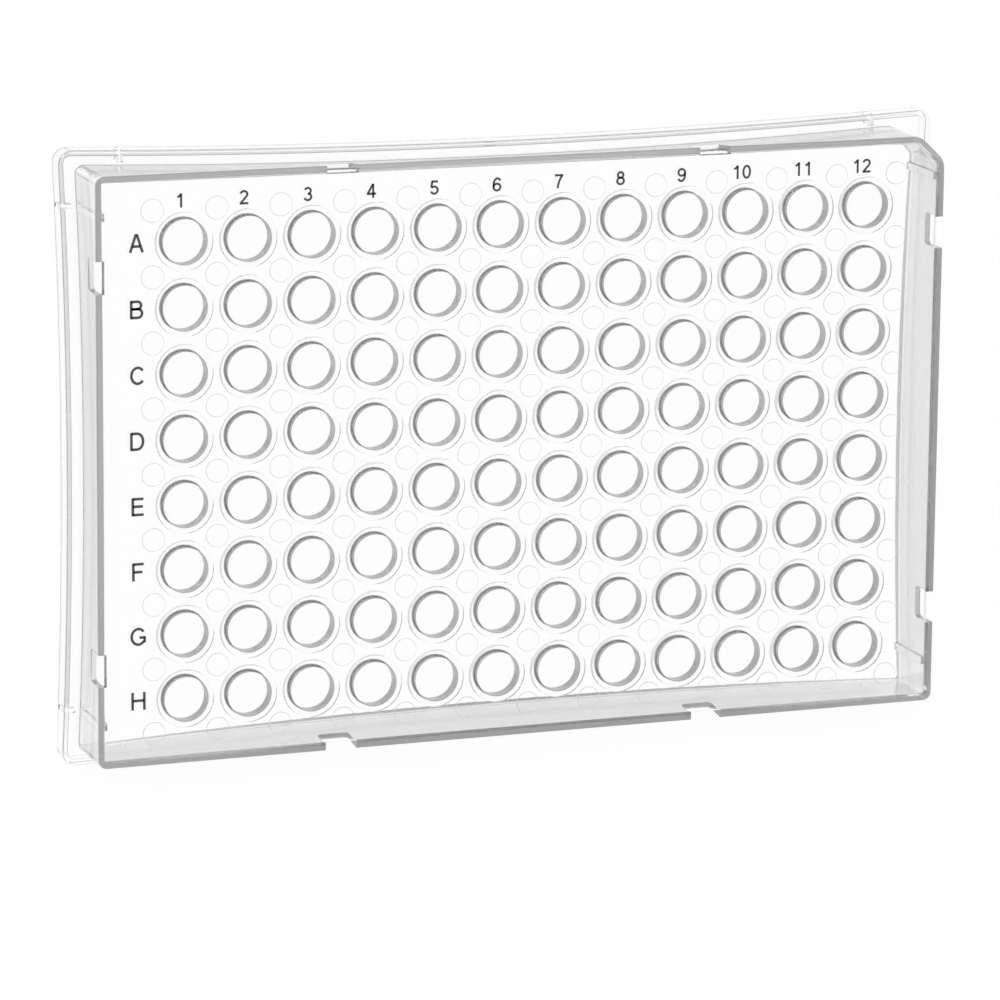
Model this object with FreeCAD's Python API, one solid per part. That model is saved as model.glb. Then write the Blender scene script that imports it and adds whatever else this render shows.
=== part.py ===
"""Clear 96-position well plate: one injection moulding on the standard footprint.

A flat deck carries 8 x 12 collared wells that are open at both ends.  A thin skirt drops from the
deck's edge.  The skirt is straight at the deck and bows inwards along each side towards its foot,
where it steps out into a flange.  All sizes are in millimetres, +Z is up, and the origin is the
middle of the footprint on the surface that the plate stands on.
"""
import FreeCAD, Part
import os
from math import cos, hypot, pi, sin

os.makedirs("parts", exist_ok=True)

# ---- driving dimensions -------------------------------------------------------------------------
# footprint and heights
FOOT_LENGTH = 127.76
FOOT_WIDTH = 85.48
PLATE_HEIGHT = 14.35      # foot to the top of the collars
COLLAR_HEIGHT = 0.90      # collar above the deck
DECK_THICKNESS = 1.20
FLANGE_HEIGHT = 3.40      # foot to the top of the ledge
LEDGE_THICKNESS = 1.00
FLANGE_WALL = 0.80
FLANGE_CORNER_RADIUS = 2.00

# skirt
SKIRT_LENGTH = 123.20     # outside, at the deck
SKIRT_WIDTH = 81.40
SKIRT_WALL = 0.80
SKIRT_CORNER_RADIUS = 1.20
SKIRT_INNER_RADIUS = 0.45
LONG_SIDE_BOW = 1.45      # how far the foot of a long side stands in at its middle
SHORT_SIDE_BOW = 0.90
CORNER_CUT_LENGTH = 3.70  # cut corner beside the last column of the first row, along X
CORNER_CUT_WIDTH = 3.55   # the same, along Y

# wells
COLUMNS = 12
ROWS = 8
PITCH = 9.00
WELL_BORE = 6.10
COLLAR_DIAMETER = 8.00
WELL_SIDES = 14           # flats of a well away from the corners, so that the whole grid stays light

# notches in the upper edge of the skirt
NOTCH_WIDTH = 4.50
NOTCH_DEPTH = 4.60        # below the deck
NOTCH_INTO_DECK = 0.35    # inwards past the inner face of the skirt
NOTCH_CORNER_RADIUS = 0.60
NOTCH_OFFSET = 27.00      # from the middle of each side

# upright ribs inside the short sides of the skirt
RIB_OFFSET = 35.00
RIB_THICKNESS = 1.00
RIB_DEPTH = 0.60

# centring ribs inside the flange
KEY_THICKNESS = 0.60
KEY_DEPTH = 0.90
KEY_OFFSET_LONG = 55.00   # from the middle, on the long sides
KEY_OFFSET_SHORT = 35.00  # from the middle, on the short sides

# ---- derived heights ----------------------------------------------------------------------------
DECK_TOP = PLATE_HEIGHT - COLLAR_HEIGHT
DECK_UNDERSIDE = DECK_TOP - DECK_THICKNESS
LEDGE_TOP = FLANGE_HEIGHT
LEDGE_UNDERSIDE = LEDGE_TOP - LEDGE_THICKNESS
OVERRUN = 1.0             # how far a cutting tool passes the face that it opens
NEAR = 0.01               # two heights closer than this are the same height


def vec(x, y, z=0.0):
    return FreeCAD.Vector(x, y, z)


def bow_share(z):
    """Share of the full bow at height z: none at the deck, all of it at the ledge."""
    return (DECK_TOP - z) / (DECK_TOP - LEDGE_TOP)


def bow_at(offset, half_side, bow):
    """How far a bowed side stands in at an offset from its middle."""
    return bow * (1 - (offset / half_side) ** 2)


def side(start, end, bow, z):
    """One side of an outline: straight, or an arc that stands in by the bow at its middle."""
    if bow == 0:
        return Part.LineSegment(vec(*start, z), vec(*end, z)).toShape()
    dx, dy = end[0] - start[0], end[1] - start[1]
    run = hypot(dx, dy)
    inward = (-dy / run, dx / run)
    middle = ((start[0] + end[0]) / 2 + bow * inward[0], (start[1] + end[1]) / 2 + bow * inward[1])
    return Part.Arc(vec(*start, z), vec(*middle, z), vec(*end, z)).toShape()


def round_corner(centre, radius, first_angle, z):
    """A quarter turn, anticlockwise from first_angle in degrees."""
    points = []
    for share in (0, 0.5, 1):
        angle = first_angle * pi / 180 + share * pi / 2
        points.append(vec(centre[0] + radius * cos(angle), centre[1] + radius * sin(angle), z))
    return Part.Arc(*points).toShape()


def outline(length, width, radius, bows, z, cut=None):
    """Closed outline, anticlockwise: rounded corners, bowed sides, and a cut at +X +Y if one is given."""
    half_x, half_y = length / 2, width / 2
    inner_x, inner_y = half_x - radius, half_y - radius
    long_bow, short_bow = bows
    cut_x, cut_y = cut if cut else (radius, radius)
    upper_right_low = (half_x, half_y - cut_y)
    upper_right_high = (half_x - cut_x, half_y)
    edges = [
        side((half_x, -inner_y), upper_right_low, short_bow, z),
        None,
        side(upper_right_high, (-inner_x, half_y), long_bow, z),
        round_corner((-inner_x, inner_y), radius, 90, z),
        side((-half_x, inner_y), (-half_x, -inner_y), short_bow, z),
        round_corner((-inner_x, -inner_y), radius, 180, z),
        side((-inner_x, -half_y), (inner_x, -half_y), long_bow, z),
        round_corner((inner_x, -inner_y), radius, 270, z),
    ]
    if cut:
        edges[1] = Part.LineSegment(vec(*upper_right_low, z), vec(*upper_right_high, z)).toShape()
    else:
        edges[1] = round_corner((inner_x, inner_y), radius, 0, z)
    return Part.Wire(edges)


def inset_cut(leg, other_leg, wall):
    """Leg of the corner cut on an outline that lies one wall inside the outer one."""
    slope = hypot(leg, other_leg)
    return leg - wall + wall * (slope - leg) / other_leg


def skirt_outline(inset, radius, z):
    """Outline of the skirt at height z, moved inwards by the inset, with corners of the radius."""
    share = bow_share(z)
    cut = (inset_cut(CORNER_CUT_LENGTH, CORNER_CUT_WIDTH, inset),
           inset_cut(CORNER_CUT_WIDTH, CORNER_CUT_LENGTH, inset))
    return outline(SKIRT_LENGTH - 2 * inset, SKIRT_WIDTH - 2 * inset, radius,
                   (LONG_SIDE_BOW * share, SHORT_SIDE_BOW * share), z, cut)


def flange_outline(inset, z):
    """Outline of the flange, which carries the full bow of the ledge all the way down."""
    return outline(FOOT_LENGTH - 2 * inset, FOOT_WIDTH - 2 * inset, FLANGE_CORNER_RADIUS - inset,
                   (LONG_SIDE_BOW, SHORT_SIDE_BOW), z)


def prism(wire, height):
    return Part.Face(wire).extrude(vec(0, 0, height))


def skirt_block(inset, radius, low, high):
    """Solid between two heights of the skirt: each side is a ruled surface that loses its bow."""
    return Part.makeLoft([skirt_outline(inset, radius, low), skirt_outline(inset, radius, high)], True, True)


def skirted_tray():
    """The deck, the bowed skirt below it and the flange at its foot, in one wall."""
    outside = skirt_block(0, SKIRT_CORNER_RADIUS, LEDGE_UNDERSIDE, DECK_TOP)
    outside = outside.fuse(prism(flange_outline(0, 0), LEDGE_TOP))
    inside = skirt_block(SKIRT_WALL, SKIRT_INNER_RADIUS, LEDGE_UNDERSIDE - OVERRUN, DECK_UNDERSIDE)
    foot_hollow = prism(flange_outline(FLANGE_WALL, -OVERRUN), LEDGE_UNDERSIDE + OVERRUN)
    return outside.cut(inside.fuse(foot_hollow))


def well_wall(diameter, column, row, low, height):
    """Solid that bounds one well, round at the four corner wells and a prism of flats at the others.

    The flats touch the round wall's circle from outside, so every well takes the same tube.
    """
    x = (column - (COLUMNS - 1) / 2) * PITCH
    y = (row - (ROWS - 1) / 2) * PITCH
    if column in (0, COLUMNS - 1) and row in (0, ROWS - 1):
        return Part.makeCylinder(diameter / 2, height, vec(x, y, low))
    reach = diameter / 2 / cos(pi / WELL_SIDES)
    corners = []
    for number in range(WELL_SIDES + 1):
        angle = (2 * number + 1) * pi / WELL_SIDES
        corners.append(vec(x + reach * cos(angle), y + reach * sin(angle), low))
    return prism(Part.makePolygon(corners), height)


def well_walls(diameter, low, height):
    """The same solid at every well of the grid."""
    return [well_wall(diameter, column, row, low, height)
            for row in range(ROWS) for column in range(COLUMNS)]


def collars():
    """One collar for each well, rooted in the deck."""
    root = DECK_THICKNESS / 2
    return well_walls(COLLAR_DIAMETER, DECK_TOP - root, root + COLLAR_HEIGHT)


def bores():
    """One bore for each well, open at the collar and under the deck."""
    length = DECK_THICKNESS + COLLAR_HEIGHT + 2 * OVERRUN
    return well_walls(WELL_BORE, DECK_UNDERSIDE - OVERRUN, length)


def notch_cutter():
    """Cutter for a notch in the +Y side, centred on X = 0, with rounded lower corners."""
    inner_face = SKIRT_WIDTH / 2 - SKIRT_WALL
    low, high = DECK_TOP - NOTCH_DEPTH, DECK_TOP + OVERRUN
    near = inner_face - NOTCH_INTO_DECK
    reach = SKIRT_WALL + NOTCH_INTO_DECK + OVERRUN
    block = Part.makeBox(NOTCH_WIDTH, reach, high - low, vec(-NOTCH_WIDTH / 2, near, low))
    lower_edges = [edge for edge in block.Edges
                   if abs(edge.CenterOfMass.z - low) < NEAR and abs(edge.BoundBox.YLength - reach) < NEAR]
    return block.makeFillet(NOTCH_CORNER_RADIUS, lower_edges)


def notch_cutters():
    """Two notches on each of the four sides."""
    cutter = notch_cutter()
    placed = []
    for offset in (-NOTCH_OFFSET, NOTCH_OFFSET):
        for turn in (0, 90, 180, 270):
            copy = cutter.copy()
            shift = 0 if turn in (0, 180) else (SKIRT_LENGTH - SKIRT_WIDTH) / 2
            copy.translate(vec(offset, shift, 0))
            copy.rotate(vec(0, 0), vec(0, 0, 1), turn)
            placed.append(copy)
    return placed


def ribs():
    """Upright ribs on the inner face of the short sides, from the deck down to the ledge."""
    height = DECK_UNDERSIDE - LEDGE_UNDERSIDE + DECK_THICKNESS / 2
    root = SKIRT_WALL / 2
    inner_face = SKIRT_LENGTH / 2 - SKIRT_WALL - SHORT_SIDE_BOW
    reach = RIB_DEPTH + SHORT_SIDE_BOW + root
    placed = []
    for sign in (-1, 1):
        near = inner_face - RIB_DEPTH if sign > 0 else -inner_face + RIB_DEPTH - reach
        for y in (-RIB_OFFSET, RIB_OFFSET):
            corner = vec(near, y - RIB_THICKNESS / 2, LEDGE_UNDERSIDE)
            placed.append(Part.makeBox(reach, RIB_THICKNESS, height, corner))
    return placed


def keys():
    """Ribs on the inner face of the flange, which centre the plate on what it is stacked over."""
    root = FLANGE_WALL / 2
    height = LEDGE_UNDERSIDE + LEDGE_THICKNESS / 2
    placed = []
    for offset in (-KEY_OFFSET_LONG, KEY_OFFSET_LONG):
        face = FOOT_WIDTH / 2 - FLANGE_WALL - bow_at(offset, FOOT_LENGTH / 2, LONG_SIDE_BOW)
        for low in (face - KEY_DEPTH, -face - root):
            corner = vec(offset - KEY_THICKNESS / 2, low, 0)
            placed.append(Part.makeBox(KEY_THICKNESS, KEY_DEPTH + root, height, corner))
    for offset in (-KEY_OFFSET_SHORT, KEY_OFFSET_SHORT):
        face = FOOT_LENGTH / 2 - FLANGE_WALL - bow_at(offset, FOOT_WIDTH / 2, SHORT_SIDE_BOW)
        for low in (face - KEY_DEPTH, -face - root):
            corner = vec(low, offset - KEY_THICKNESS / 2, 0)
            placed.append(Part.makeBox(KEY_DEPTH + root, KEY_THICKNESS, height, corner))
    return placed


def well_plate():
    tray = skirted_tray()
    tray = tray.fuse(ribs() + keys() + collars()).removeSplitter()
    return tray.cut(bores() + notch_cutters())


plate = well_plate()
solids = plate.Solids
print("solids", len(solids), "valid", plate.isValid(), "volume", round(plate.Volume, 1))
print("box", plate.BoundBox)
solids[0].exportStep("parts/well_plate.step")
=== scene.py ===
"""Clear well plate on a plain stage, laid out as a Blender add-on and run as a script.

The plate is one injection moulding in clear polystyrene.  Its mesh is built from worked-out surfaces:
flat faces with round openings, wells turned from one profile, and the skirt and flange as one profile
carried round a bowed outline.  Sizes in the functions are in millimetres, as on a drawing, and are
turned to metres when a mesh is made.
"""

import math

import bpy
import numpy as np
from mathutils import Matrix, Vector
from mathutils.geometry import delaunay_2d_cdt


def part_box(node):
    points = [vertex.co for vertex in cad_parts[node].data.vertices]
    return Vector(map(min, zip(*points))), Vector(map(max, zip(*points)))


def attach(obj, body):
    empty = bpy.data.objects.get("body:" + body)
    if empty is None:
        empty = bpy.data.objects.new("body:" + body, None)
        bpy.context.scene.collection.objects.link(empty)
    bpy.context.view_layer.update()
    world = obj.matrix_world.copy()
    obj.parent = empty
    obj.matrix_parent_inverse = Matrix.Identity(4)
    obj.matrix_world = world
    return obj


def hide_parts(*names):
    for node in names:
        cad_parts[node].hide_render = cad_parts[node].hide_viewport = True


bl_info = {
    "name": "Clear well plate",
    "version": (1, 0, 0),
    "blender": (4, 5, 0),
    "location": "3D View > Sidebar > Well plate",
    "description": "Builds a clear moulded well plate with its marks and a plain stage",
    "category": "Add Mesh",
}

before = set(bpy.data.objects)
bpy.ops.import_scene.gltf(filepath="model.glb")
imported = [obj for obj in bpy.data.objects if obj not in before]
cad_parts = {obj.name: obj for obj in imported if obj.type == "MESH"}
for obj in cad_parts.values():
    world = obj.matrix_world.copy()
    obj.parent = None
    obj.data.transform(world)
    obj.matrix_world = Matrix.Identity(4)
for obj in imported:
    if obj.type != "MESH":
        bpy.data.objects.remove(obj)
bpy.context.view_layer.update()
PLATE_NODE = "well_plate"
MM = 0.001

COLUMNS = 12
ROW_LETTERS = "ABCDEFGH"
ROWS = len(ROW_LETTERS)
CURVE_STEPS = 5           # points in a quarter turn of an edge radius
SMALL_STEPS = 3           # points in a quarter turn of the smallest radii
RIM_STEPS = 4             # points in a quarter turn of a collar's upper edges
SMOOTH_BELOW = 28         # angle in degrees below which faces that meet are shaded as one surface
ROOT = 0.4                # how far ribs and keys run into what they stand on, in millimetres
PAST = 0.5                # how far a cutter runs past what it cuts, in millimetres
NEAR = 0.01               # slack when faces are told apart by place, in millimetres
UPRIGHT = 0.3             # faces whose normal rises or falls by less than this are upright
SLOPING = 0.98            # faces whose normal rises or falls by less than this aren't flat


# ---- sizes and colours that a user would change -------------------------------------------------

def size(label, description, millimetres):
    """A length property that is shown in the scene's units."""
    return bpy.props.FloatProperty(name=label, description=description, default=millimetres * MM,
                                   min=0.0, unit="LENGTH", precision=5)


def factor(label, description, value, low=0.0, high=1.0):
    """A plain number between two limits."""
    return bpy.props.FloatProperty(name=label, description=description, default=value, min=low, max=high)


def colour(label, description, code):
    """A colour property given as an sRGB hex code."""
    return bpy.props.StringProperty(name=label, description=description, default=code, maxlen=7)


class PlateSizes(bpy.types.PropertyGroup):
    """Sizes of the moulding."""
    collar_height: size("Collar height", "Height of a well's collar above the deck", 0.90)
    deck_thickness: size("Deck thickness", "Thickness of the flat deck", 1.20)
    bore: size("Well bore", "Diameter of a well", 6.10)
    collar: size("Collar diameter", "Outer diameter of a well's collar", 8.00)
    pitch: size("Pitch", "Distance between neighbouring wells", 9.00)
    skirt_length: size("Skirt length", "Length of the skirt at the deck", 123.20)
    skirt_width: size("Skirt width", "Width of the skirt at the deck", 81.40)
    skirt_wall: size("Skirt wall", "Thickness of the skirt", 0.80)
    skirt_corner: size("Skirt corner radius", "Radius of the skirt's corners", 1.20)
    cut_length: size("Cut corner length", "Cut corner along the long side", 3.70)
    cut_width: size("Cut corner width", "Cut corner along the short side", 3.55)
    long_bow: size("Long side bow", "How far a long side's foot stands in at its middle", 1.45)
    short_bow: size("Short side bow", "How far a short side's foot stands in at its middle", 0.90)
    flange_height: size("Flange height", "Foot to the top of the ledge", 3.40)
    ledge_thickness: size("Ledge thickness", "Thickness of the ledge", 1.00)
    flange_wall: size("Flange wall", "Thickness of the flange's upright wall", 0.80)
    flange_corner: size("Flange corner radius", "Radius of the flange's corners", 2.00)
    notch_width: size("Notch width", "Width of a notch in the skirt", 4.50)
    notch_depth: size("Notch depth", "Depth of a notch below the deck", 4.60)
    notch_offset: size("Notch offset", "Notch from the middle of its side", 27.0)
    notch_radius: size("Notch radius", "Radius of a notch's lower corners", 0.60)
    notch_reach: size("Notch reach", "How far a notch runs into the deck, behind the skirt", 0.35)
    rib_thickness: size("Rib thickness", "Thickness of a rib inside a short side", 1.00)
    rib_depth: size("Rib depth", "How far a rib stands in from the skirt", 0.60)
    rib_offset: size("Rib offset", "Rib from the middle of its side", 35.0)
    key_thickness: size("Key thickness", "Thickness of a key inside the flange", 0.60)
    key_depth: size("Key depth", "How far a key stands in from the flange", 0.90)
    key_long: size("Key offset, long side", "Key from the middle of a long side", 55.0)
    key_short: size("Key offset, short side", "Key from the middle of a short side", 35.0)
    edge_radius: size("Edge radius", "Radius on the outer edges", 0.25)
    foot_radius: size("Foot radius", "Radius on the edges that the plate stands on", 0.15)
    fillet: size("Fillet", "Radius where the skirt meets the ledge and the deck", 0.30)
    inner_radius: size("Inner radius", "Radius on the ledge's underside", 0.20)
    least_radius: size("Least corner radius", "Smallest radius of an outline's corner", 0.40)
    bore_edge: size("Bore edge radius", "Radius on the upper end of a well", 0.14)
    bore_lead: size("Bore lead radius", "Radius on the lower end of a well", 0.36)
    collar_shoulder: size("Collar shoulder radius", "Radius on a collar's outer edge", 0.12)
    collar_foot: size("Collar foot radius", "Radius where a collar meets the deck", 0.05)
    mark: size("Mark diameter", "Diameter of an ejector mark", 3.26)
    mark_height: size("Mark height", "Height of an ejector mark above the deck", 0.08)
    mark_shift: size("Mark shift", "How far the ejector marks stand right of and below their grid", 0.22)


class MarkSizes(bpy.types.PropertyGroup):
    """Sizes and places of the printed letters and numbers."""
    number_height: size("Number height", "Cap height of the column numbers", 1.93)
    letter_height: size("Letter height", "Cap height of the row letters", 2.50)
    number_line: size("Number line", "Middle of the numbers from the plate's middle", 37.0)
    letter_line: size("Letter line", "Middle of the letters from the plate's middle", 56.0)
    number_shift: size("Number shift", "How far the numbers stand left of their columns", 0.48)
    ink_height: size("Ink height", "Thickness of the printed ink", 0.02)
    number_weight: factor("Number weight", "Stroke as a share of cap height", 0.16, 0.02, 0.3)
    letter_weight: factor("Letter weight", "Stroke as a share of cap height", 0.15, 0.02, 0.3)


class Finish(bpy.types.PropertyGroup):
    """Colours and finishes."""
    ink: colour("Ink", "Colour of the printed marks", "#3E3A3A")
    floor: colour("Floor", "Colour of the floor", "#FFFFFF")
    roughness: factor("Roughness", "Roughness of the polished plastic", 0.03)
    satin_roughness: factor("Satin roughness", "Roughness of the skirt's two faces", 0.1)


class StageSettings(bpy.types.PropertyGroup):
    """The view and the light."""
    lens: bpy.props.FloatProperty(name="Lens", description="Focal length of the camera",
                                  default=207.54, unit="CAMERA")
    floor_size: size("Floor size", "Side of the floor", 4000.0)
    soft_light: factor("Soft light", "Strength of the light all round", 0.75, high=10.0)
    dim: factor("Dark cards", "Brightness of what reflections show", 0.35, high=10.0)


# ---- helpers ------------------------------------------------------------------------------------

def linear(code):
    """sRGB hex code to a linear colour with alpha."""
    values = [int(code[i:i + 2], 16) / 255 for i in (1, 3, 5)]
    return [v / 12.92 if v <= 0.04045 else ((v + 0.055) / 1.055) ** 2.4 for v in values] + [1.0]


def plate_sizes():
    """The moulding's sizes in millimetres, with the heights that follow from the frame's own box."""
    group = bpy.context.scene.plate_sizes
    values = {name: getattr(group, name) / MM for name in group.bl_rna.properties.keys()
              if name not in ("rna_type", "name")}
    low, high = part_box(PLATE_NODE)
    values["length"] = (high[0] - low[0]) / MM
    values["width"] = (high[1] - low[1]) / MM
    values["top"] = high[2] / MM
    values["deck_top"] = values["top"] - values["collar_height"]
    values["deck_under"] = values["deck_top"] - values["deck_thickness"]
    values["ledge_under"] = values["flange_height"] - values["ledge_thickness"]
    return values


def new_object(name, points, faces):
    """Object at the origin from points in millimetres and a list of faces."""
    mesh = bpy.data.meshes.new(name)
    mesh.from_pydata((np.asarray(points) * MM).tolist(), [], faces)
    mesh.update()
    piece = bpy.data.objects.new(name, mesh)
    bpy.context.scene.collection.objects.link(piece)
    return piece


def band(first, second, count, flip=False):
    """Quads between two closed rings of count points that start at the given indices."""
    here = np.arange(count)
    after = np.roll(here, -1)
    quads = np.stack([first + here, first + after, second + after, second + here], 1)
    return (quads[:, ::-1] if flip else quads).tolist()


# ---- the moulding's surfaces --------------------------------------------------------------------

SIDE_STEPS = 72           # points along one side of an outline
CORNER_STEPS = 24         # points round one corner
WELL_STEPS = 48           # points round a well
MARK_STEPS = 28           # points round an ejector mark
INSIDE_ONLY = 1           # delaunay_2d_cdt's output type for triangles inside the outer loop
SAME_POINT = 1e-6         # distance in millimetres below which two points are one


def corner_arc(centre, radius, first_angle):
    """Quarter turn, anticlockwise: centre + radius (cos a, sin a) for a over 90 degrees."""
    angle = first_angle + np.linspace(0, math.pi / 2, CORNER_STEPS)
    return np.stack([centre[0] + radius * np.cos(angle), centre[1] + radius * np.sin(angle)], 1)


def cut_corner(low, high, radius):
    """Cut corner from low to high with rounded ends: a quadratic blend at each end of a straight line.

    The blend at an end is (1 - t)^2 a + 2 t (1 - t) b + t^2 c, where b is the sharp corner and a and c
    lie one radius before and after it.
    """
    run = (high - low) / np.linalg.norm(high - low)
    share = CORNER_STEPS // 2
    t = np.linspace(0, 1, share)[:, None]
    before, after = low - [0, radius], low + run * radius
    first = (1 - t) ** 2 * before + 2 * t * (1 - t) * low + t ** 2 * after
    before, after = high - run * radius, high - [radius, 0]
    second = (1 - t) ** 2 * before + 2 * t * (1 - t) * high + t ** 2 * after
    return np.concatenate([first, second])


def bowed_side(start, end, bow):
    """Side from start to end that stands in by bow (1 - u^2), with u from -1 to 1 along it."""
    u = np.linspace(-1, 1, SIDE_STEPS + 2)[1:-1, None]
    inward = np.array([start[1] - end[1], end[0] - start[0]])
    inward = inward / np.linalg.norm(inward)
    return start * (1 - u) / 2 + end * (1 + u) / 2 + bow * (1 - u ** 2) * inward


def outline(length, width, radius, bows, cut=None):
    """Closed outline, anticlockwise from the lower end of the +X side, always with as many points."""
    x, y = length / 2, width / 2
    corners = [corner_arc((x - radius, y - radius), radius, 0),
               corner_arc((-x + radius, y - radius), radius, math.pi / 2),
               corner_arc((-x + radius, -y + radius), radius, math.pi),
               corner_arc((x - radius, -y + radius), radius, 3 * math.pi / 2)]
    if cut:
        corners[0] = cut_corner(np.array([x, y - cut[1]]), np.array([x - cut[0], y]), radius)
    rows = []
    for number, corner in enumerate(corners):
        last = corners[number - 1][-1]
        rows += [bowed_side(last, corner[0], bows[number % 2]), corner]
    return np.concatenate(rows)


def skirt_outline(v, inset, z):
    """Outline of the skirt at height z: the bow grows evenly from none at the deck to all at the ledge."""
    share = (v["deck_top"] - z) / (v["deck_top"] - v["flange_height"])
    legs = v["cut_length"], v["cut_width"]
    slope = math.hypot(*legs)
    cut = [leg - inset + inset * (slope - leg) / other for leg, other in (legs, legs[::-1])]
    radius = max(v["skirt_corner"] - inset, v["least_radius"])
    return outline(v["skirt_length"] - 2 * inset, v["skirt_width"] - 2 * inset, radius,
                   (v["short_bow"] * share, v["long_bow"] * share), cut)


def flange_outline(v, inset, z):
    """Outline of the flange, with the full bow at every height."""
    radius = max(v["flange_corner"] - inset, v["least_radius"])
    return outline(v["length"] - 2 * inset, v["width"] - 2 * inset, radius, (v["short_bow"], v["long_bow"]))


def turn_steps(steps=CURVE_STEPS):
    """Pairs (1 - sin a, 1 - cos a) for a quarter turn, from (1, 0) to (0, 1)."""
    angle = np.linspace(0, math.pi / 2, steps)
    return list(zip(1 - np.sin(angle), 1 - np.cos(angle)))


def skirt_profile(v):
    """Section of the skirt and flange as (outline, inset, height), from the deck's top to its underside."""
    wall, flange, ledge = v["skirt_wall"], v["flange_wall"], v["ledge_under"]
    edge, foot, fillet, inner = v["edge_radius"], v["foot_radius"], v["fillet"], v["inner_radius"]
    rows = [(skirt_outline, wall, v["deck_top"])]
    rows += [(skirt_outline, edge * a, v["deck_top"] - edge * b) for a, b in turn_steps()]
    rows += [(skirt_outline, -fillet * b, v["flange_height"] + fillet * a) for a, b in turn_steps()]
    rows += [(flange_outline, edge * a, v["flange_height"] - edge * b) for a, b in turn_steps()]
    rows += [(flange_outline, foot * b, foot * a) for a, b in turn_steps(SMALL_STEPS)]
    rows += [(flange_outline, flange - foot * a, foot * b) for a, b in turn_steps(SMALL_STEPS)]
    rows += [(flange_outline, flange + inner * b, ledge - inner * a) for a, b in turn_steps(SMALL_STEPS)]
    rows += [(skirt_outline, wall - inner * a, ledge + inner * b) for a, b in turn_steps(SMALL_STEPS)]
    rows += [(skirt_outline, wall + fillet * b, v["deck_under"] - fillet * a) for a, b in turn_steps()]
    return rows


def skirt_surface(v):
    """Rings of the skirt and flange, one per row of the profile, each carried round its outline."""
    rings = []
    for shape, inset, z in skirt_profile(v):
        ring = shape(v, inset, z)
        rings.append(np.column_stack([ring, np.full(len(ring), z)]))
    return np.stack(rings)


def well_profile(v):
    """Section of a well as (radius, height), from the deck up over the collar and down the bore.

    Quarter circles round off the collar's foot, its outer edge and both ends of the bore.
    """
    foot, shoulder = v["collar_foot"], v["collar_shoulder"]
    edge, lead = v["bore_edge"], v["bore_lead"]
    rows = [(v["collar"] / 2 + foot * a, v["deck_top"] + foot * b) for a, b in turn_steps(SMALL_STEPS)]
    rows += [(v["collar"] / 2 - shoulder * b, v["top"] - shoulder * a) for a, b in turn_steps(RIM_STEPS)]
    rows += [(v["bore"] / 2 + edge * a, v["top"] - edge * b) for a, b in turn_steps(RIM_STEPS)]
    rows += [(v["bore"] / 2 + lead * b, v["deck_under"] + lead * a) for a, b in turn_steps()]
    return np.array(rows)


def mark_profile(v):
    """Section of a faint ejector mark: a disc with a sloping edge that stands just above the deck."""
    half = v["mark"] / 2
    return np.array([(half, v["deck_top"]), (half - v["mark_height"], v["deck_top"] + v["mark_height"])])


def turned(profile, centres, steps):
    """Rings of a profile turned about each centre: (cx + r cos a, cy + r sin a, z)."""
    angle = np.arange(steps) * 2 * math.pi / steps
    circle = np.stack([np.cos(angle), np.sin(angle)], 1)
    flat = centres[:, None, None, :] + profile[None, :, 0, None, None] * circle[None, None]
    height = np.broadcast_to(profile[None, :, 1, None, None], flat.shape[:3] + (1,))
    return np.concatenate([flat, height], 3)


def grid_centres(columns, rows, pitch):
    """Centres of a grid that is centred on the plate."""
    x = (np.arange(columns) - (columns - 1) / 2) * pitch
    y = (np.arange(rows) - (rows - 1) / 2) * pitch
    return np.stack(np.meshgrid(x, y), -1).reshape(-1, 2)


def mark_centres(v):
    """Centres of the ejector marks: between the wells and round the grid's edge, a little off it."""
    return grid_centres(COLUMNS + 1, ROWS + 1, v["pitch"]) + np.array([v["mark_shift"], -v["mark_shift"]])


def flat_face(points, loops, upwards):
    """Triangles of a flat face between an outer loop and its openings, given as lists of point numbers.

    A triangle with all its corners on one opening fills that opening, so it is left out.
    """
    used = np.concatenate(loops)
    owner = np.concatenate([np.full(len(loop), number) for number, loop in enumerate(loops)])
    place = {number: i for i, number in enumerate(used.tolist())}
    edges = [(place[a], place[b]) for loop in loops for a, b in zip(loop, loop[1:] + loop[:1])]
    result = delaunay_2d_cdt([Vector(points[number][:2]) for number in used], edges, [],
                              INSIDE_ONLY, SAME_POINT)
    if len(result[0]) != len(used):
        raise RuntimeError("a flat face gained or lost points")
    order = np.array([origin[0] for origin in result[3]])
    faces = order[np.array(result[2])]
    owners = owner[faces]
    filled = (owners[:, 0] > 0) & (owners[:, 0] == owners[:, 1]) & (owners[:, 1] == owners[:, 2])
    faces = used[faces[~filled]]
    return (faces if upwards else faces[:, ::-1]).tolist()


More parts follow.
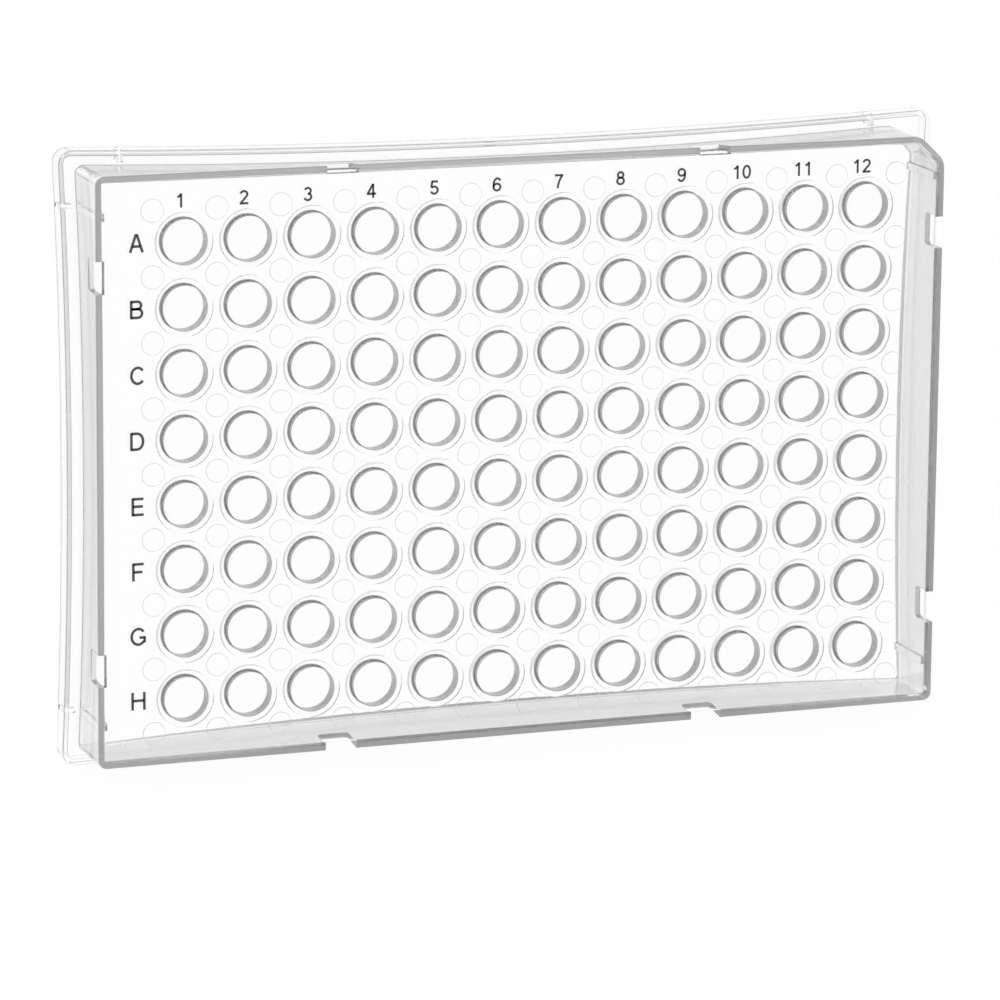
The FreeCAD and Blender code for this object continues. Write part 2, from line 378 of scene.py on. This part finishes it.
def plate_mesh(v):
    """The moulding without its notches, ribs and keys, as points and faces of one closed mesh."""
    skirt = skirt_surface(v)
    wells = turned(well_profile(v), grid_centres(COLUMNS, ROWS, v["pitch"]), WELL_STEPS)
    marks = turned(mark_profile(v), mark_centres(v), MARK_STEPS)
    points = np.concatenate([part.reshape(-1, 3) for part in (skirt, wells, marks)])
    faces = []
    around = skirt.shape[1]
    for row in range(len(skirt) - 1):
        faces += band(row * around, (row + 1) * around, around, flip=True)
    top_loops = [list(range(around))]
    under_loops = [list(range((len(skirt) - 1) * around, len(skirt) * around))]
    start = skirt.shape[0] * around
    rings = wells.shape[1]
    for _well in wells:
        for row in range(rings - 1):
            faces += band(start + row * WELL_STEPS, start + (row + 1) * WELL_STEPS, WELL_STEPS)
        top_loops.append(list(range(start, start + WELL_STEPS)))
        under_loops.append(list(range(start + (rings - 1) * WELL_STEPS, start + rings * WELL_STEPS)))
        start += rings * WELL_STEPS
    for _mark in marks:
        faces += band(start, start + MARK_STEPS, MARK_STEPS)
        faces.append(list(range(start + MARK_STEPS, start + 2 * MARK_STEPS)))
        top_loops.append(list(range(start, start + MARK_STEPS)))
        start += 2 * MARK_STEPS
    faces += flat_face(points, top_loops, True)
    faces += flat_face(points, under_loops, False)
    return points, faces


def rounded_block(centre, half, radius, low, high, name):
    """Upright block for a notch: a section in X and Z with rounded lower corners, carried along Y."""
    x, reach = half
    angle = np.linspace(0, math.pi / 2, CURVE_STEPS)
    left = np.stack([-x + radius - radius * np.cos(angle), low + radius - radius * np.sin(angle)], 1)
    right = np.stack([x - radius + radius * np.sin(angle), low + radius - radius * np.cos(angle)], 1)
    section = np.concatenate([left, right, [[x, high], [-x, high]]])
    count = len(section)
    points = [np.column_stack([section[:, 0], np.full(count, y), section[:, 1]]) for y in (-reach, reach)]
    points = np.concatenate(points) + [centre[0], centre[1], 0]
    faces = band(0, count, count) + [list(range(count))[::-1], list(range(count, 2 * count))]
    return new_object(name, points, [face[::-1] for face in faces])


def box_block(low, high, name):
    """Plain block between two corners."""
    around = ((low[0], low[1]), (high[0], low[1]), (high[0], high[1]), (low[0], high[1]))
    corners = np.array([[x, y, z] for z in (low[2], high[2]) for x, y in around])
    faces = band(0, 4, 4) + [[3, 2, 1, 0], [4, 5, 6, 7]]
    return new_object(name, corners, faces)


def place_block(block, turn, shift):
    """Moves a block's points outwards by the shift and turns them about the plate's middle."""
    matrix = Matrix.Rotation(math.radians(turn), 4, "Z") @ Matrix.Translation((0, shift * MM, 0))
    block.data.transform(matrix)
    return block


def notch_blocks(v):
    """Cutters for two notches on each side of the skirt."""
    near = v["skirt_width"] / 2 - v["skirt_wall"] - v["notch_reach"]
    half = v["notch_width"] / 2, (v["skirt_wall"] + v["notch_reach"] + PAST) / 2
    low, high = v["deck_top"] - v["notch_depth"], v["deck_top"] + PAST
    blocks = []
    for turn in (0, 90, 180, 270):
        shift = 0 if turn in (0, 180) else (v["skirt_length"] - v["skirt_width"]) / 2
        for sign in (-1, 1):
            centre = sign * v["notch_offset"], near + half[1]
            block = rounded_block(centre, half, v["notch_radius"], low, high, "notch")
            blocks.append(place_block(block, turn, shift))
    return blocks


def rib_blocks(v):
    """Ribs inside the short sides of the skirt, which run from the ledge to the deck."""
    inside = v["skirt_length"] / 2 - v["skirt_wall"]
    low, high = v["ledge_under"] + ROOT, v["deck_under"] + ROOT
    blocks = []
    for turn in (0, 180):
        for y in (-v["rib_offset"], v["rib_offset"]):
            block = box_block((inside - v["rib_depth"], y - v["rib_thickness"] / 2, low),
                              (inside + ROOT, y + v["rib_thickness"] / 2, high), "rib")
            blocks.append(place_block(block, turn, 0))
    return blocks


def key_blocks(v):
    """Keys inside the flange, two on each side, which stand on the bowed wall."""
    sides = ((0, v["length"], v["width"], v["long_bow"], v["key_long"]),
             (90, v["width"], v["length"], v["short_bow"], v["key_short"]))
    blocks = []
    for turn, along, across, bow, offset in sides:
        face = across / 2 - v["flange_wall"] - bow * (1 - (2 * offset / along) ** 2)
        for side_turn in (turn, turn + 180):
            for x in (-offset, offset):
                block = box_block((x - v["key_thickness"] / 2, face - v["key_depth"], NEAR),
                                  (x + v["key_thickness"] / 2, face + ROOT, v["ledge_under"] + ROOT), "key")
                blocks.append(place_block(block, side_turn, 0))
    return blocks


def join(blocks):
    """One object from several."""
    with bpy.context.temp_override(active_object=blocks[0], selected_editable_objects=blocks):
        bpy.ops.object.join()
    return blocks[0]


def combine(piece, other, operation):
    """Applies a Boolean with another object and removes that object."""
    step = piece.modifiers.new(operation.lower(), "BOOLEAN")
    step.operation, step.solver, step.object = operation, "MANIFOLD", other
    with bpy.context.temp_override(object=piece, active_object=piece):
        bpy.ops.object.modifier_apply(modifier=step.name)
    bpy.data.objects.remove(other)


def smooth_edges(piece, degrees):
    """Smooth shading between faces that meet at less than the angle.

    Each corner's normal is the sum of area times face normal over those faces round its point that lie
    within the angle of its own face, so that flats stay flat up to their rounded edges.
    """
    mesh = piece.data
    mesh.shade_smooth()
    corners, count = len(mesh.loops), len(mesh.polygons)
    point, face_sizes = np.empty(corners, np.int32), np.empty(count, np.int32)
    normal, area = np.empty(count * 3), np.empty(count)
    mesh.loops.foreach_get("vertex_index", point)
    for name, values in (("loop_total", face_sizes), ("normal", normal), ("area", area)):
        mesh.polygons.foreach_get(name, values)
    face = np.repeat(np.arange(count), face_sizes)
    order = np.argsort(point, kind="stable")
    point, face = point[order], face[order]
    normal = normal.reshape(-1, 3)[face]
    weighted = normal * area[face][:, None]
    total, step, least = weighted.copy(), 1, math.cos(math.radians(degrees))
    while (point[step:] == point[:-step]).any():
        near = (point[step:] == point[:-step]) & ((normal[step:] * normal[:-step]).sum(1) > least)
        total[step:][near] += weighted[:-step][near]
        total[:-step][near] += weighted[step:][near]
        step += 1
    result = np.empty_like(total)
    result[order] = total / np.linalg.norm(total, axis=1)[:, None]
    mesh.normals_split_custom_set(result.tolist())


def off_grid(centre, pitch, shift):
    """Distance in X and Y from the nearest point of a grid of the pitch that is moved by the shift."""
    place = (centre[:, :2] - shift) / pitch
    return np.hypot(*((place - np.round(place)) * pitch).T)


def on_brink(centre, v):
    """Whether points are over the skirt's wall, along its four sides and along its cut corner."""
    x, y = v["skirt_length"] / 2 - centre[:, 0], v["skirt_width"] / 2 - centre[:, 1]
    legs = v["cut_length"], v["cut_width"]
    past_cut = (x / legs[0] + y / legs[1] - 1) / math.hypot(1 / legs[0], 1 / legs[1])
    sides = np.minimum.reduce([x, v["skirt_length"] - x, y, v["skirt_width"] - y, past_cut])
    return sides < v["skirt_wall"]


def finish_faces(piece, v):
    """Gives each face its finish by its place and slope.

    0 is polished, 1 the satin of the skirt, 2 the dull finish of the bores and the marks' rims, whose grey
    tint is painted shade, 3 the edges of the wells and of the skirt's brink, tinted darker grey as painted
    shade, and 4 the frosted collars and inner corners.
    """
    polygons = piece.data.polygons
    centre, normal = np.empty(len(polygons) * 3), np.empty(len(polygons) * 3)
    polygons.foreach_get("center", centre)
    polygons.foreach_get("normal", normal)
    centre, rise = centre.reshape(-1, 3) / MM, normal.reshape(-1, 3)[:, 2]
    z, half = centre[:, 2], np.array([v["pitch"], v["pitch"]]) / 2
    grid = np.abs(centre[:, :2]) < half * (COLUMNS, ROWS)
    on_grid, sloping = grid[:, 0] & grid[:, 1], np.abs(rise) < SLOPING
    r = off_grid(centre, v["pitch"], half)
    wells = on_grid & sloping & (z > v["deck_under"] - NEAR)
    # Bores take finish 2, whose grey tint is painted shade; its roughness and smaller clear share are the
    # real dull finish.
    bores = wells & (r < v["bore"] / 2 + NEAR)
    # The rounded ends of the bores take finish 3, tinted darker grey as painted shade.
    edges = wells & (r < v["bore"] / 2 + v["bore_lead"] + NEAR)
    collars = wells & (z > v["deck_top"]) & (np.abs(r - v["collar"] / 2) < v["collar_foot"])
    shift = np.array([v["mark_shift"], -v["mark_shift"]])
    # The marks' rims take finish 2 too; its grey tint paints the shade lines round each mark's low step.
    rims = sloping & (np.abs(z - v["deck_top"] - v["mark_height"] / 2) < NEAR)
    rims &= off_grid(centre, v["pitch"], shift) < v["mark"] / 2
    walls = ~on_grid & (np.abs(rise) < UPRIGHT) & (z > v["flange_height"]) & (z < v["deck_top"])
    # The skirt's brink takes finish 3 as well; its darker grey tint is painted shade.
    brink = (rise > UPRIGHT) & (z > v["deck_top"] - v["edge_radius"]) & on_brink(centre, v)
    inner = ~on_grid & sloping & (z > v["ledge_under"]) & (z < v["ledge_under"] + v["inner_radius"])
    finish = np.select([bores, edges, collars, rims, walls, brink, inner], [2, 3, 4, 2, 1, 3, 4], 0)
    polygons.foreach_set("material_index", finish.astype(np.int32))


# ---- materials ----------------------------------------------------------------------------------

POLYSTYRENE_IOR = 1.57
BODY_TINT = "#D6D6D8"     # what the plastic lets through
BODY_DENSITY = 22.0       # how fast it takes off the rest, per metre
FLOW_MARK = 8.333         # length of a moulding's faint flow marks, in millimetres
FLOW_RISE = 0.04          # their height, in millimetres
INK_GRAIN = 0.4           # grain of the printed ink, in millimetres

ADD = {"operation": "ADD", "use_clamp": True}
MULTIPLY = {"operation": "MULTIPLY", "use_clamp": True}
MAXIMUM = {"operation": "MAXIMUM", "use_clamp": True}
IS_ZERO = {"operation": "LESS_THAN", 1: 0.5}      # 1 where a count or a flag is 0
AT_MOST_ONE = {"operation": "LESS_THAN", 1: 1.5}  # 1 where a count is 0 or 1

TURNS_FADE = 0.5, 2.5     # turns by reflection over which a view falls from white to dim
ROOF_FADE = 0.2, 0.8      # rise of a direction, from the tent's dim sides to its bright roof
GLOW_TO_CAMERA = 0.93     # share of the floor's glow that the camera sees; the rest is paint in shadow
CARD_FADE = 6.6, 1.9      # the white card's edge, from none to full, in millimetres in from the skirt


def new_material(name):
    """Material with an empty node tree."""
    material = bpy.data.materials.new(name)
    material.use_nodes = True
    material.node_tree.nodes.clear()
    return material


def node(owner, kind, settings=None, links=None):
    """Adds a node to a material or world, sets its sockets or properties, and links its sockets.

    A socket goes by its name, or by its number where names repeat.
    """
    tree = owner.node_tree
    made = tree.nodes.new(kind)
    for key, value in (settings or {}).items():
        if isinstance(key, int) or key in made.inputs:
            made.inputs[key].default_value = value
        else:
            setattr(made, key, value)
    for key, source in (links or {}).items():
        tree.links.new(source, made.inputs[key])
    return made


def moulded_polystyrene(name, tint, roughness, clear):
    """Crystal polystyrene, injection moulded: glass-clear where the tool was polished, cloudy where it was
    left dull.

    The clear share passes light and the rest scatters it from the faint texture that the tool leaves.
    The plastic takes off a little light for each millimetre, so a wall seen along its length goes grey
    while the thin deck stays clear.
    """
    material = new_material(name)
    place = node(material, "ShaderNodeTexCoord").outputs["Object"]
    flow = node(material, "ShaderNodeTexNoise", {"Scale": 1 / (FLOW_MARK * MM), "Detail": 2.0},
                {"Vector": place})
    bump = node(material, "ShaderNodeBump", {"Strength": 0.05, "Distance": FLOW_RISE * MM},
                {"Height": flow.outputs["Fac"]})
    surface = node(material, "ShaderNodeBsdfPrincipled",
                   {"Base Color": linear(tint), "Roughness": roughness, "IOR": POLYSTYRENE_IOR,
                    "Transmission Weight": clear}, {"Normal": bump.outputs["Normal"]})
    inside = node(material, "ShaderNodeVolumeAbsorption",
                  {"Color": linear(BODY_TINT), "Density": BODY_DENSITY})
    node(material, "ShaderNodeOutputMaterial",
         links={"Surface": surface.outputs["BSDF"], "Volume": inside.outputs["Volume"]})
    return material


def pad_ink(code):
    """Pad-printing ink, dried to a satin film with a faint mottle."""
    material = new_material("pad_print_ink")
    place = node(material, "ShaderNodeTexCoord").outputs["Object"]
    mottle = node(material, "ShaderNodeTexNoise", {"Scale": 1 / (INK_GRAIN * MM), "Detail": 3.0},
                  {"Vector": place})
    tone = node(material, "ShaderNodeMapRange", {"To Min": 0.85, "To Max": 1.15},
                {"Value": mottle.outputs["Fac"]})
    base = node(material, "ShaderNodeMix",
                {"data_type": "RGBA", "blend_type": "MULTIPLY", 0: 1.0, 6: linear(code)},
                {7: tone.outputs["Result"]})
    surface = node(material, "ShaderNodeBsdfPrincipled", {"Roughness": 0.55},
                   {"Base Color": base.outputs[2]})
    node(material, "ShaderNodeOutputMaterial", links={"Surface": surface.outputs["BSDF"]})
    return material


def straight_view(owner):
    """Light Path's sockets, and one that is 1 for what is seen directly or straight through the plastic.

    It falls to three quarters after one turn by reflection, a quarter after two and 0 after three.
    """
    path = node(owner, "ShaderNodeLightPath").outputs
    seen = node(owner, "ShaderNodeMath", ADD, {0: path["Is Camera Ray"], 1: path["Is Transmission Ray"]})
    turns = node(owner, "ShaderNodeMapRange",
                 {"From Min": TURNS_FADE[0], "From Max": TURNS_FADE[1], "To Min": 1.0, "To Max": 0.0},
                 {"Value": path["Glossy Depth"]})
    straight = node(owner, "ShaderNodeMath", MULTIPLY, {0: seen.outputs[0], 1: turns.outputs["Result"]})
    return path, straight.outputs[0]


def past_foot(floor):
    """Socket that is 1 on the floor past the skirt's foot at +X and -Y, and falls to 0 further in."""
    v = plate_sizes()
    place = node(floor, "ShaderNodeTexCoord").outputs["Object"]
    split = node(floor, "ShaderNodeSeparateXYZ", links={"Vector": place})
    sides = []
    for axis, side, reach in (("X", 1, v["skirt_length"] / 2), ("Y", -1, v["skirt_width"] / 2)):
        none, full = [side * (reach - inset) * MM for inset in CARD_FADE]
        fade = node(floor, "ShaderNodeMapRange", {"From Min": none, "From Max": full},
                    {"Value": split.outputs[axis]})
        sides.append(fade.outputs["Result"])
    return node(floor, "ShaderNodeMath", MAXIMUM, {0: sides[0], 1: sides[1]}).outputs[0]


def studio_white(code, dim):
    """Matt white sweep under a light tent.

    Seen directly, straight through the plastic or mirrored on its outside it is white.  Each turn that
    a view takes inside the plastic brings it nearer to the dim of the dark cards that stand round such
    a set, which is what draws the edges of clear plastic.  A white card lies along two sides, so the
    inside of the skirt there mirrors white.  The kind of ray and its count of turns stand in for real
    cards.  To the camera the floor keeps a share of plain paint, which holds the shadow.
    """
    floor = new_material("studio_white")
    path, straight = straight_view(floor)
    mirrored = path["Is Glossy Ray"]
    unbent = node(floor, "ShaderNodeMath", IS_ZERO, {0: path["Transmission Depth"]})
    outside = node(floor, "ShaderNodeMath", MULTIPLY, {0: mirrored, 1: unbent.outputs[0]})
    single = node(floor, "ShaderNodeMath", AT_MOST_ONE, {0: path["Glossy Depth"]})
    once = node(floor, "ShaderNodeMath", MULTIPLY, {0: mirrored, 1: single.outputs[0]})
    card = node(floor, "ShaderNodeMath", MULTIPLY, {0: once.outputs[0], 1: past_foot(floor)})
    seen = node(floor, "ShaderNodeMath", ADD, {0: straight, 1: outside.outputs[0]})
    white = node(floor, "ShaderNodeMath", ADD, {0: seen.outputs[0], 1: card.outputs[0]})
    shine = node(floor, "ShaderNodeMapRange", {"To Min": dim, "To Max": 1.0}, {"Value": white.outputs[0]})
    glow = node(floor, "ShaderNodeEmission", {"Color": linear(code)}, {"Strength": shine.outputs["Result"]})
    paint = node(floor, "ShaderNodeBsdfDiffuse", {"Color": linear(code)})
    kept = node(floor, "ShaderNodeMapRange", {"To Min": 1.0, "To Max": GLOW_TO_CAMERA},
                {"Value": path["Is Camera Ray"]})
    unscattered = node(floor, "ShaderNodeMath", IS_ZERO, {0: path["Is Diffuse Ray"]})
    share = node(floor, "ShaderNodeMath", MULTIPLY, {0: kept.outputs["Result"], 1: unscattered.outputs[0]})
    mixed = node(floor, "ShaderNodeMixShader",
                 links={0: share.outputs[0], 1: paint.outputs[0], 2: glow.outputs[0]})
    node(floor, "ShaderNodeOutputMaterial", links={"Surface": mixed.outputs[0]})
    return floor


def studio_world(soft_light, dim):
    """World that is white behind the plate and lights the object at a plain level.

    Reflections show a bright roof and dim sides.
    """
    world = bpy.data.worlds.new("light_tent")
    world.use_nodes = True
    path, straight = straight_view(world)
    way = node(world, "ShaderNodeTexCoord").outputs["Generated"]
    split = node(world, "ShaderNodeSeparateXYZ", links={"Vector": way})
    height = node(world, "ShaderNodeMapRange",
                  {"From Min": ROOF_FADE[0], "From Max": ROOF_FADE[1], "To Min": dim, "To Max": 1.0},
                  {"Value": split.outputs["Z"]})
    shine = node(world, "ShaderNodeMix", {3: 1.0}, {0: straight, 2: height.outputs["Result"]})
    plain = node(world, "ShaderNodeMix", {3: soft_light}, {0: path["Is Diffuse Ray"], 2: shine.outputs[0]})
    back = world.node_tree.nodes["Background"]
    back.inputs["Color"].default_value = linear("#FFFFFF")
    world.node_tree.links.new(plain.outputs[0], back.inputs["Strength"])
    return world


# ---- operators ----------------------------------------------------------------------------------

class WELLPLATE_OT_moulding(bpy.types.Operator):
    """Make the clear moulding: deck, wells, skirt, flange, notches, ribs and keys in one closed piece"""
    bl_idname = "wellplate.moulding"
    bl_label = "Moulding"

    def execute(self, context):
        v = plate_sizes()
        piece = new_object("clear_moulding", *plate_mesh(v))
        combine(piece, join(rib_blocks(v) + key_blocks(v)), "UNION")
        combine(piece, join(notch_blocks(v)), "DIFFERENCE")
        smooth_edges(piece, SMOOTH_BELOW)
        finish = context.scene.plate_finish
        piece.data.materials.clear()
        # Each finish with its tint, its roughness and the share of light that passes.
        for name, tint, roughness, clear in (("polished", "#FFFFFF", finish.roughness, 1.0),
                                             ("satin", "#FFFFFF", finish.satin_roughness, 0.82),
                                             # Finish 2: a dull finish whose grey tint is painted shade on
                                             # the bores and the marks' rims.
                                             ("matt_painted_shade", "#D0D0D4", 0.3, 0.45),
                                             # Finish 3: a darker grey tint painted on the edges of the
                                             # wells and the skirt's brink as shade; its roughness and clear
                                             # share are the finish.
                                             ("painted_shade_edge", "#A6A4A5", 0.3, 0.4),
                                             ("frosted", "#FFFFFF", 0.4, 0.15)):
            piece.data.materials.append(moulded_polystyrene(name + "_polystyrene", tint, roughness, clear))
        finish_faces(piece, v)
        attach(piece, "root")
        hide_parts(PLATE_NODE)
        return {"FINISHED"}


GLYPH_TURN = 9            # degrees from one point of a glyph's curve to the next
LETTER_STEP = 0.776       # from one figure to the next, as a share of cap height
MITRE = 0.5               # least cosine at a stroke's bend, which keeps a sharp mitre short
INK_SINK = 0.002          # how far the ink reaches into the deck, in millimetres


def bow_path(centre, radii, first, last):
    """Points (cx + rx cos a, cy + ry sin a), with a from first to last in degrees."""
    angle = np.radians(np.linspace(first, last, int(abs(last - first) / GLYPH_TURN)))
    return [(centre[0] + radii[0] * math.cos(a), centre[1] + radii[1] * math.sin(a)) for a in angle]


def half_turned(strokes):
    """Strokes turned by half a turn about the middle of the glyph."""
    return [[(-x, 1 - y) for x, y in stroke] for stroke in strokes]


SIX = [bow_path((0.0, 0.31), (0.255, 0.24), 0, 360), bow_path((0.03, 0.48), (0.285, 0.45), 38, 205)]

# Centre lines of a plain grotesque alphabet, on a cap height of 1 and centred on x = 0.
GLYPHS = {
    "0": [bow_path((0, 0.5), (0.255, 0.43), 0, 360)],
    "1": [[(0.08, 0), (0.08, 1)], [(0.06, 0.93), (-0.04, 0.81), (-0.19, 0.73)]],
    "2": [bow_path((0, 0.71), (0.245, 0.22), 170, -32) + [(-0.22, 0.10)], [(-0.31, 0.07), (0.32, 0.07)]],
    "3": [bow_path((0, 0.72), (0.215, 0.21), 162, -90), bow_path((0, 0.295), (0.25, 0.225), 90, -162)],
    "4": [[(0.11, 0.97), (-0.27, 0.31)], [(-0.34, 0.29), (0.34, 0.29)], [(0.13, 0), (0.13, 1)]],
    "5": [[(-0.19, 0.93), (0.27, 0.93)], [(-0.16, 0.97), (-0.22, 0.50)],
          bow_path((0.0, 0.32), (0.255, 0.25), 142, -160)],
    "6": SIX,
    "7": [[(-0.31, 0.93), (0.31, 0.93)],
          [(0.27, 0.93), (0.13, 0.72), (0.02, 0.48), (-0.05, 0.24), (-0.08, 0)]],
    "8": [bow_path((0, 0.73), (0.21, 0.20), 0, 360), bow_path((0, 0.30), (0.255, 0.23), 0, 360)],
    "9": half_turned(SIX),
    "A": [[(-0.345, 0), (-0.02, 1)], [(0.345, 0), (0.02, 1)], [(-0.23, 0.33), (0.23, 0.33)]],
    "B": [[(-0.30, 0), (-0.30, 1)],
          [(-0.3, 0.935)] + bow_path((0.05, 0.735), (0.2, 0.2), 90, -90) + [(-0.3, 0.535)],
          [(-0.3, 0.535)] + bow_path((0.07, 0.30), (0.23, 0.235), 90, -90) + [(-0.3, 0.065)]],
    "C": [bow_path((0, 0.5), (0.355, 0.435), 38, 322)],
    "D": [[(-0.31, 0), (-0.31, 1)],
          [(-0.31, 0.935)] + bow_path((0, 0.5), (0.34, 0.435), 90, -90) + [(-0.31, 0.065)]],
    "E": [[(-0.27, 0), (-0.27, 1)], [(-0.27, 0.935), (0.33, 0.935)], [(-0.27, 0.52), (0.3, 0.52)],
          [(-0.27, 0.065), (0.34, 0.065)]],
    "F": [[(-0.25, 0), (-0.25, 1)], [(-0.25, 0.935), (0.33, 0.935)], [(-0.25, 0.50), (0.26, 0.50)]],
    "G": [bow_path((-0.02, 0.5), (0.375, 0.435), 38, 325), [(0.04, 0.45), (0.39, 0.45)],
          [(0.335, 0.45), (0.335, 0.16)]],
    "H": [[(-0.33, 0), (-0.33, 1)], [(0.33, 0), (0.33, 1)], [(-0.33, 0.53), (0.33, 0.53)]],
}


def ribbon(path, width):
    """Left and right edges of a stroke, half its width off along the mitred normal.

    A path that ends on its start is closed.
    """
    path = np.asarray(path, float)
    run = np.diff(path, axis=0)
    run /= np.linalg.norm(run, axis=1)[:, None]
    if np.allclose(path[0], path[-1]):
        before, after = np.concatenate([run[-1:], run]), np.concatenate([run, run[:1]])
    else:
        before, after = np.concatenate([run[:1], run]), np.concatenate([run, run[-1:]])
    along = before + after
    along /= np.linalg.norm(along, axis=1)[:, None]
    normal = np.stack([-along[:, 1], along[:, 0]], 1)
    reach = width / 2 / np.maximum((along * after).sum(1), MITRE)[:, None]
    return path + normal * reach, path - normal * reach


def stroke_shell(path, width, low, high):
    """Closed bar of a stroke between two heights: four corners at each point of the path."""
    left, right = ribbon(path, width)
    count = len(left)
    corners = [np.column_stack([edge, np.full(count, z)]) for z, edge in ((high, left), (high, right),
                                                                        (low, right), (low, left))]
    points = np.stack(corners, 1).reshape(-1, 3)
    here = np.arange(count - 1)[:, None] * 4
    side = np.arange(4)[None]
    after = (side + 1) % 4
    faces = np.stack([here + side, here + after, here + 4 + after, here + 4 + side], 2).reshape(-1, 4)
    end = 4 * (count - 1)
    return points, faces[:, ::-1].tolist() + [[0, 1, 2, 3], [end + 3, end + 2, end + 1, end]]


def lettering(text, height, weight, spacing):
    """Strokes of a text on its own line, with its ink centred on the origin: path list in millimetres."""
    strokes = []
    for place, letter in enumerate(text):
        strokes += [np.array(path) * height + [place * spacing * height, 0] for path in GLYPHS[letter]]
    edges = np.concatenate([np.concatenate(ribbon(path, weight * height)) for path in strokes])
    middle = (edges.min(0) + edges.max(0)) / 2
    return [path - middle for path in strokes]


def mark_piece(name, text, height, weight, centre, z, thickness, ink):
    """A printed mark: each stroke a thin closed bar, centred on a point of the deck."""
    points, faces, start = [], [], 0
    for path in lettering(text, height, weight, LETTER_STEP):
        shell, quads = stroke_shell(path + np.array(centre), weight * height, z - INK_SINK, z + thickness)
        points.append(shell)
        faces += [[number + start for number in quad] for quad in quads]
        start += len(shell)
    piece = new_object(name, np.concatenate(points), faces)
    piece.data.materials.append(ink)
    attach(piece, "root")
    return piece


class WELLPLATE_OT_marks(bpy.types.Operator):
    """Print the row letters and the column numbers on the deck"""
    bl_idname = "wellplate.marks"
    bl_label = "Row letters and column numbers"

    def execute(self, context):
        v, m = plate_sizes(), context.scene.plate_marks
        ink = pad_ink(context.scene.plate_finish.ink)
        thickness = m.ink_height / MM
        for row, letter in enumerate(ROW_LETTERS):
            y = ((ROWS - 1) / 2 - row) * v["pitch"]
            mark_piece("row_" + letter.lower(), letter, m.letter_height / MM, m.letter_weight,
                       (-m.letter_line / MM, y), v["deck_top"], thickness, ink)
        for column in range(COLUMNS):
            x = (column - (COLUMNS - 1) / 2) * v["pitch"] - m.number_shift / MM
            mark_piece("column_%d" % (column + 1), str(column + 1), m.number_height / MM, m.number_weight,
                       (x, m.number_line / MM), v["deck_top"], thickness, ink)
        return {"FINISHED"}


CAMERA_PLACE = -268.5, 166.4, 728.1   # in millimetres, from halfway up the wells
CAMERA_AIM = -4.063, -7.066, 0.0      # a point that the camera looks at, from the same height
CAMERA_ROLL = 121.566                 # in degrees, from an upright camera


def facing(place, target):
    """Turn of a lamp or camera that looks from a place to a target."""
    return (Vector(target) - Vector(place)).to_track_quat("-Z", "Y")


def soft_box(name, place, target, side, power):
    """Square area lamp at a place in metres, turned to a target."""
    lamp = bpy.data.lights.new(name, "AREA")
    lamp.size = side
    lamp.energy = power
    holder = bpy.data.objects.new(name, lamp)
    bpy.context.scene.collection.objects.link(holder)
    holder.location = place
    holder.rotation_euler = facing(place, target).to_euler()
    return holder


class WELLPLATE_OT_stage(bpy.types.Operator):
    """Set the floor, the soft light and the camera"""
    bl_idname = "wellplate.stage"
    bl_label = "Stage"

    def execute(self, context):
        settings, scene, v = context.scene.plate_stage, context.scene, plate_sizes()
        half = settings.floor_size / MM / 2
        corners = [(-half, -half, 0), (half, -half, 0), (half, half, 0), (-half, half, 0)]
        floor = new_object("floor", corners, [(0, 1, 2, 3)])
        floor.data.materials.append(studio_white(context.scene.plate_finish.floor, settings.dim))
        scene.world = studio_world(settings.soft_light, settings.dim)
        soft_box("key_soft_box", place=(-0.35, 0.45, 0.9), target=(0, 0, 0), side=0.5, power=6.0)
        camera = bpy.data.objects.new("camera", bpy.data.cameras.new("camera"))
        camera.data.lens = settings.lens
        scene.collection.objects.link(camera)
        middle = Vector((0, 0, (v["top"] + v["deck_under"]) / 2))
        roll = Matrix.Rotation(math.radians(CAMERA_ROLL), 4, "Z")
        turn = facing(CAMERA_PLACE, CAMERA_AIM).to_matrix().to_4x4() @ roll
        camera.matrix_world = Matrix.Translation((Vector(CAMERA_PLACE) + middle) * MM) @ turn
        scene.camera = camera
        scene.view_settings.view_transform = "Standard"
        return {"FINISHED"}


class WELLPLATE_PT_panel(bpy.types.Panel):
    """Lists the steps that make the plate"""
    bl_idname = "WELLPLATE_PT_panel"
    bl_label = "Well plate"
    bl_space_type = "VIEW_3D"
    bl_region_type = "UI"
    bl_category = "Well plate"

    def draw(self, context):
        column = self.layout.column()
        for operator in (WELLPLATE_OT_moulding, WELLPLATE_OT_marks, WELLPLATE_OT_stage):
            column.operator(operator.bl_idname)


CLASSES = (PlateSizes, MarkSizes, Finish, StageSettings, WELLPLATE_OT_moulding, WELLPLATE_OT_marks,
           WELLPLATE_OT_stage, WELLPLATE_PT_panel)
GROUPS = {"plate_sizes": PlateSizes, "plate_marks": MarkSizes, "plate_finish": Finish,
          "plate_stage": StageSettings}


def register():
    for item in CLASSES:
        bpy.utils.register_class(item)
    for name, group in GROUPS.items():
        setattr(bpy.types.Scene, name, bpy.props.PointerProperty(type=group))


def unregister():
    for name in GROUPS:
        delattr(bpy.types.Scene, name)
    for item in reversed(CLASSES):
        bpy.utils.unregister_class(item)


def main():
    register()
    bpy.ops.wellplate.moulding()
    bpy.ops.wellplate.marks()
    bpy.ops.wellplate.stage()


if __name__ == "__main__":
    main()
